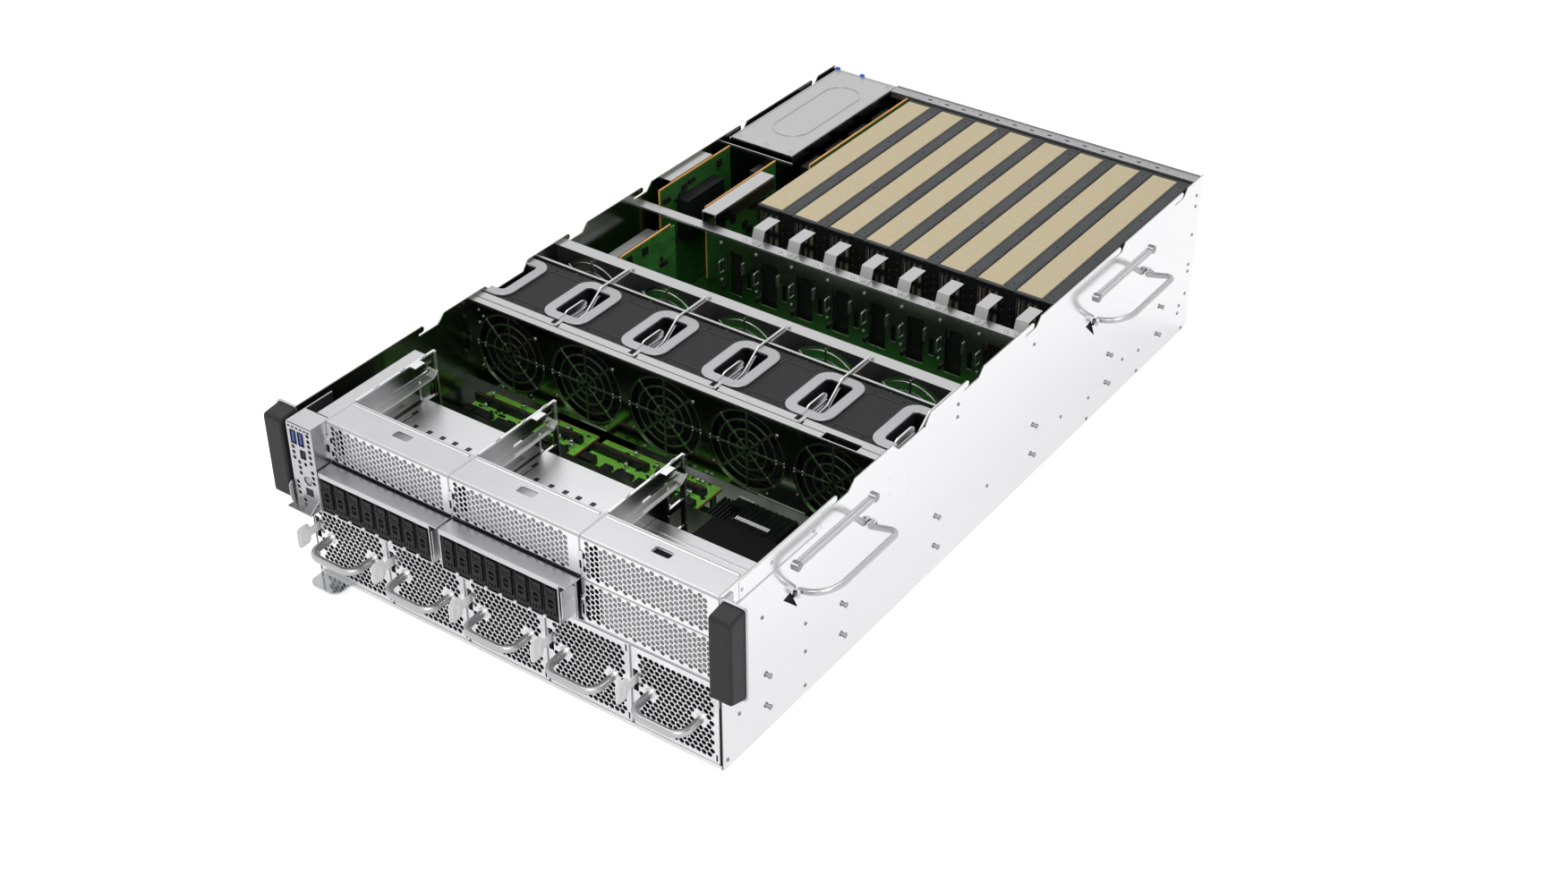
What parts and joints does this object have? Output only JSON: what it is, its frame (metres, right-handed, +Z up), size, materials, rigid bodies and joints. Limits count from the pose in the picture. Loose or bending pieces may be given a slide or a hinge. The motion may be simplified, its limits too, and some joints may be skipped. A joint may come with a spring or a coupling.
{
  "type": "rack server",
  "caption": "Open-topped rack server for accelerator cards, with hot-swap drives, power supplies, lift-out fans and fold-down carry handles.",
  "frame": {"origin": "centre of the chassis bottom", "axes": "+X to the right seen from the front, +Y to the rear, +Z up"},
  "size_m": [0.504, 0.83, 0.174],
  "materials": {
    "wall_steel": "satin near-white sheet",
    "sheet_steel": "satin zinc-plated sheet",
    "psu_steel": "satin sheet with bright rod",
    "stud_steel": "turned",
    "bright_rod": "polished rod",
    "charcoal_plastic": "fine-grained moulding",
    "black_plastic": "moulded",
    "drive_black": "moulded",
    "latch_white": "satin",
    "fin_aluminium": "anodised fins",
    "shroud_grey": "satin grey",
    "board_green": "solder mask"
  },
  "bodies": {
    "chassis": {"bottom_pan": "sheet_steel", "left_wall": "wall_steel", "right_wall": "wall_steel", "rail_studs": "stud_steel", "rack_ears": "wall_steel", "ear_handles": "charcoal_plastic", "control_module": "sheet_steel", "bay_frame": "sheet_steel", "bay_blanks": "sheet_steel", "drive_cages": "sheet_steel", "fan_cage": "sheet_steel", "middle_beam": "sheet_steel", "gpu_fin_stacks": "fin_aluminium", "gpu_shrouds": "shroud_grey", "circuit_boards": "board_green", "board_parts": "black_plastic", "nic_cage": "sheet_steel", "rear_panel": "sheet_steel"},
    "drive_1": {"drive_1": "drive_black"},
    "drive_2": {"drive_2": "drive_black"},
    "drive_3": {"drive_3": "drive_black"},
    "drive_4": {"drive_4": "drive_black"},
    "drive_5": {"drive_5": "drive_black"},
    "drive_6": {"drive_6": "drive_black"},
    "drive_7": {"drive_7": "drive_black"},
    "drive_8": {"drive_8": "drive_black"},
    "drive_9": {"drive_9": "drive_black"},
    "drive_10": {"drive_10": "drive_black"},
    "drive_11": {"drive_11": "drive_black"},
    "drive_12": {"drive_12": "drive_black"},
    "drive_13": {"drive_13": "drive_black"},
    "drive_14": {"drive_14": "drive_black"},
    "drive_15": {"drive_15": "drive_black"},
    "drive_16": {"drive_16": "drive_black"},
    "psu_1": {"psu_1": "psu_steel"},
    "psu_latch_1": {"psu_latch_1": "latch_white"},
    "psu_2": {"psu_2": "psu_steel"},
    "psu_latch_2": {"psu_latch_2": "latch_white"},
    "psu_3": {"psu_3": "psu_steel"},
    "psu_latch_3": {"psu_latch_3": "latch_white"},
    "psu_4": {"psu_4": "psu_steel"},
    "psu_latch_4": {"psu_latch_4": "latch_white"},
    "psu_5": {"psu_5": "psu_steel"},
    "psu_latch_5": {"psu_latch_5": "latch_white"},
    "fan_1": {"fan_1": "charcoal_plastic"},
    "rotor_1": {"rotor_1": "black_plastic"},
    "fan_2": {"fan_2": "charcoal_plastic"},
    "rotor_2": {"rotor_2": "black_plastic"},
    "fan_3": {"fan_3": "charcoal_plastic"},
    "rotor_3": {"rotor_3": "black_plastic"},
    "fan_4": {"fan_4": "charcoal_plastic"},
    "rotor_4": {"rotor_4": "black_plastic"},
    "fan_5": {"fan_5": "charcoal_plastic"},
    "rotor_5": {"rotor_5": "black_plastic"},
    "carry_handle_front_right": {"carry_handle_front_right": "bright_rod"},
    "carry_handle_front_left": {"carry_handle_front_left": "bright_rod"},
    "carry_handle_rear_right": {"carry_handle_rear_right": "bright_rod"},
    "carry_handle_rear_left": {"carry_handle_rear_left": "bright_rod"},
    "power_button": {"power_button": "sheet_steel"},
    "service_tab": {"service_tab": "sheet_steel"}
  },
  "joints": [
    {"name": "drive_1_slide", "type": "slide", "parent": "chassis", "child": "drive_1", "axis": [0, -1, 0], "range_m": [0, 0.13]},
    {"name": "drive_2_slide", "type": "slide", "parent": "chassis", "child": "drive_2", "axis": [0, -1, 0], "range_m": [0, 0.13]},
    {"name": "drive_3_slide", "type": "slide", "parent": "chassis", "child": "drive_3", "axis": [0, -1, 0], "range_m": [0, 0.13]},
    {"name": "drive_4_slide", "type": "slide", "parent": "chassis", "child": "drive_4", "axis": [0, -1, 0], "range_m": [0, 0.13]},
    {"name": "drive_5_slide", "type": "slide", "parent": "chassis", "child": "drive_5", "axis": [0, -1, 0], "range_m": [0, 0.13]},
    {"name": "drive_6_slide", "type": "slide", "parent": "chassis", "child": "drive_6", "axis": [0, -1, 0], "range_m": [0, 0.13]},
    {"name": "drive_7_slide", "type": "slide", "parent": "chassis", "child": "drive_7", "axis": [0, -1, 0], "range_m": [0, 0.13]},
    {"name": "drive_8_slide", "type": "slide", "parent": "chassis", "child": "drive_8", "axis": [0, -1, 0], "range_m": [0, 0.13]},
    {"name": "drive_9_slide", "type": "slide", "parent": "chassis", "child": "drive_9", "axis": [0, -1, 0], "range_m": [0, 0.13]},
    {"name": "drive_10_slide", "type": "slide", "parent": "chassis", "child": "drive_10", "axis": [0, -1, 0], "range_m": [0, 0.13]},
    {"name": "drive_11_slide", "type": "slide", "parent": "chassis", "child": "drive_11", "axis": [0, -1, 0], "range_m": [0, 0.13]},
    {"name": "drive_12_slide", "type": "slide", "parent": "chassis", "child": "drive_12", "axis": [0, -1, 0], "range_m": [0, 0.13]},
    {"name": "drive_13_slide", "type": "slide", "parent": "chassis", "child": "drive_13", "axis": [0, -1, 0], "range_m": [0, 0.13]},
    {"name": "drive_14_slide", "type": "slide", "parent": "chassis", "child": "drive_14", "axis": [0, -1, 0], "range_m": [0, 0.13]},
    {"name": "drive_15_slide", "type": "slide", "parent": "chassis", "child": "drive_15", "axis": [0, -1, 0], "range_m": [0, 0.13]},
    {"name": "drive_16_slide", "type": "slide", "parent": "chassis", "child": "drive_16", "axis": [0, -1, 0], "range_m": [0, 0.13]},
    {"name": "psu_1_slide", "type": "slide", "parent": "chassis", "child": "psu_1", "axis": [0, -1, 0], "range_m": [0, 0.17]},
    {"name": "psu_latch_1_press", "type": "hinge", "parent": "psu_1", "child": "psu_latch_1", "pos_m": [-0.214, -0.39, 0.041], "axis": [0, 0, 1], "range_deg": [0, 7], "stiffness_Nm_per_rad": 0.5},
    {"name": "psu_2_slide", "type": "slide", "parent": "chassis", "child": "psu_2", "axis": [0, -1, 0], "range_m": [0, 0.17]},
    {"name": "psu_latch_2_press", "type": "hinge", "parent": "psu_2", "child": "psu_latch_2", "pos_m": [-0.1274, -0.39, 0.041], "axis": [0, 0, 1], "range_deg": [0, 7], "stiffness_Nm_per_rad": 0.5},
    {"name": "psu_3_slide", "type": "slide", "parent": "chassis", "child": "psu_3", "axis": [0, -1, 0], "range_m": [0, 0.17]},
    {"name": "psu_latch_3_press", "type": "hinge", "parent": "psu_3", "child": "psu_latch_3", "pos_m": [-0.0408, -0.39, 0.041], "axis": [0, 0, 1], "range_deg": [0, 7], "stiffness_Nm_per_rad": 0.5},
    {"name": "psu_4_slide", "type": "slide", "parent": "chassis", "child": "psu_4", "axis": [0, -1, 0], "range_m": [0, 0.17]},
    {"name": "psu_latch_4_press", "type": "hinge", "parent": "psu_4", "child": "psu_latch_4", "pos_m": [0.0458, -0.39, 0.041], "axis": [0, 0, 1], "range_deg": [0, 7], "stiffness_Nm_per_rad": 0.5},
    {"name": "psu_5_slide", "type": "slide", "parent": "chassis", "child": "psu_5", "axis": [0, -1, 0], "range_m": [0, 0.17]},
    {"name": "psu_latch_5_press", "type": "hinge", "parent": "psu_5", "child": "psu_latch_5", "pos_m": [0.1324, -0.39, 0.041], "axis": [0, 0, 1], "range_deg": [0, 7], "stiffness_Nm_per_rad": 0.5},
    {"name": "fan_1_lift", "type": "slide", "parent": "chassis", "child": "fan_1", "axis": [0, 0, 1], "range_m": [0, 0.1]},
    {"name": "rotor_1_spin", "type": "hinge", "parent": "fan_1", "child": "rotor_1", "pos_m": [-0.1738, -0.145, 0.128], "axis": [0, 1, 0], "continuous": true},
    {"name": "fan_2_lift", "type": "slide", "parent": "chassis", "child": "fan_2", "axis": [0, 0, 1], "range_m": [0, 0.1]},
    {"name": "rotor_2_spin", "type": "hinge", "parent": "fan_2", "child": "rotor_2", "pos_m": [-0.0869, -0.145, 0.128], "axis": [0, 1, 0], "continuous": true},
    {"name": "fan_3_lift", "type": "slide", "parent": "chassis", "child": "fan_3", "axis": [0, 0, 1], "range_m": [0, 0.1]},
    {"name": "rotor_3_spin", "type": "hinge", "parent": "fan_3", "child": "rotor_3", "pos_m": [0, -0.145, 0.128], "axis": [0, 1, 0], "continuous": true},
    {"name": "fan_4_lift", "type": "slide", "parent": "chassis", "child": "fan_4", "axis": [0, 0, 1], "range_m": [0, 0.1]},
    {"name": "rotor_4_spin", "type": "hinge", "parent": "fan_4", "child": "rotor_4", "pos_m": [0.0869, -0.145, 0.128], "axis": [0, 1, 0], "continuous": true},
    {"name": "fan_5_lift", "type": "slide", "parent": "chassis", "child": "fan_5", "axis": [0, 0, 1], "range_m": [0, 0.1]},
    {"name": "rotor_5_spin", "type": "hinge", "parent": "fan_5", "child": "rotor_5", "pos_m": [0.1738, -0.145, 0.128], "axis": [0, 1, 0], "continuous": true},
    {"name": "carry_handle_front_right_fold", "type": "hinge", "parent": "chassis", "child": "carry_handle_front_right", "pos_m": [0.2221, -0.252, 0.117], "axis": [0, 1, 0], "range_deg": [0, 104]},
    {"name": "carry_handle_front_left_fold", "type": "hinge", "parent": "chassis", "child": "carry_handle_front_left", "pos_m": [-0.2221, -0.252, 0.117], "axis": [0, -1, 0], "range_deg": [0, 104]},
    {"name": "carry_handle_rear_right_fold", "type": "hinge", "parent": "chassis", "child": "carry_handle_rear_right", "pos_m": [0.2221, 0.235, 0.117], "axis": [0, 1, 0], "range_deg": [0, 104]},
    {"name": "carry_handle_rear_left_fold", "type": "hinge", "parent": "chassis", "child": "carry_handle_rear_left", "pos_m": [-0.2221, 0.235, 0.117], "axis": [0, -1, 0], "range_deg": [0, 104]},
    {"name": "power_button_press", "type": "slide", "parent": "chassis", "child": "power_button", "axis": [0, 1, 0], "range_m": [0, 0.0015], "stiffness_N_per_m": 800},
    {"name": "service_tab_slide", "type": "slide", "parent": "chassis", "child": "service_tab", "axis": [0, -1, 0], "range_m": [0, 0.05]}
  ]
}
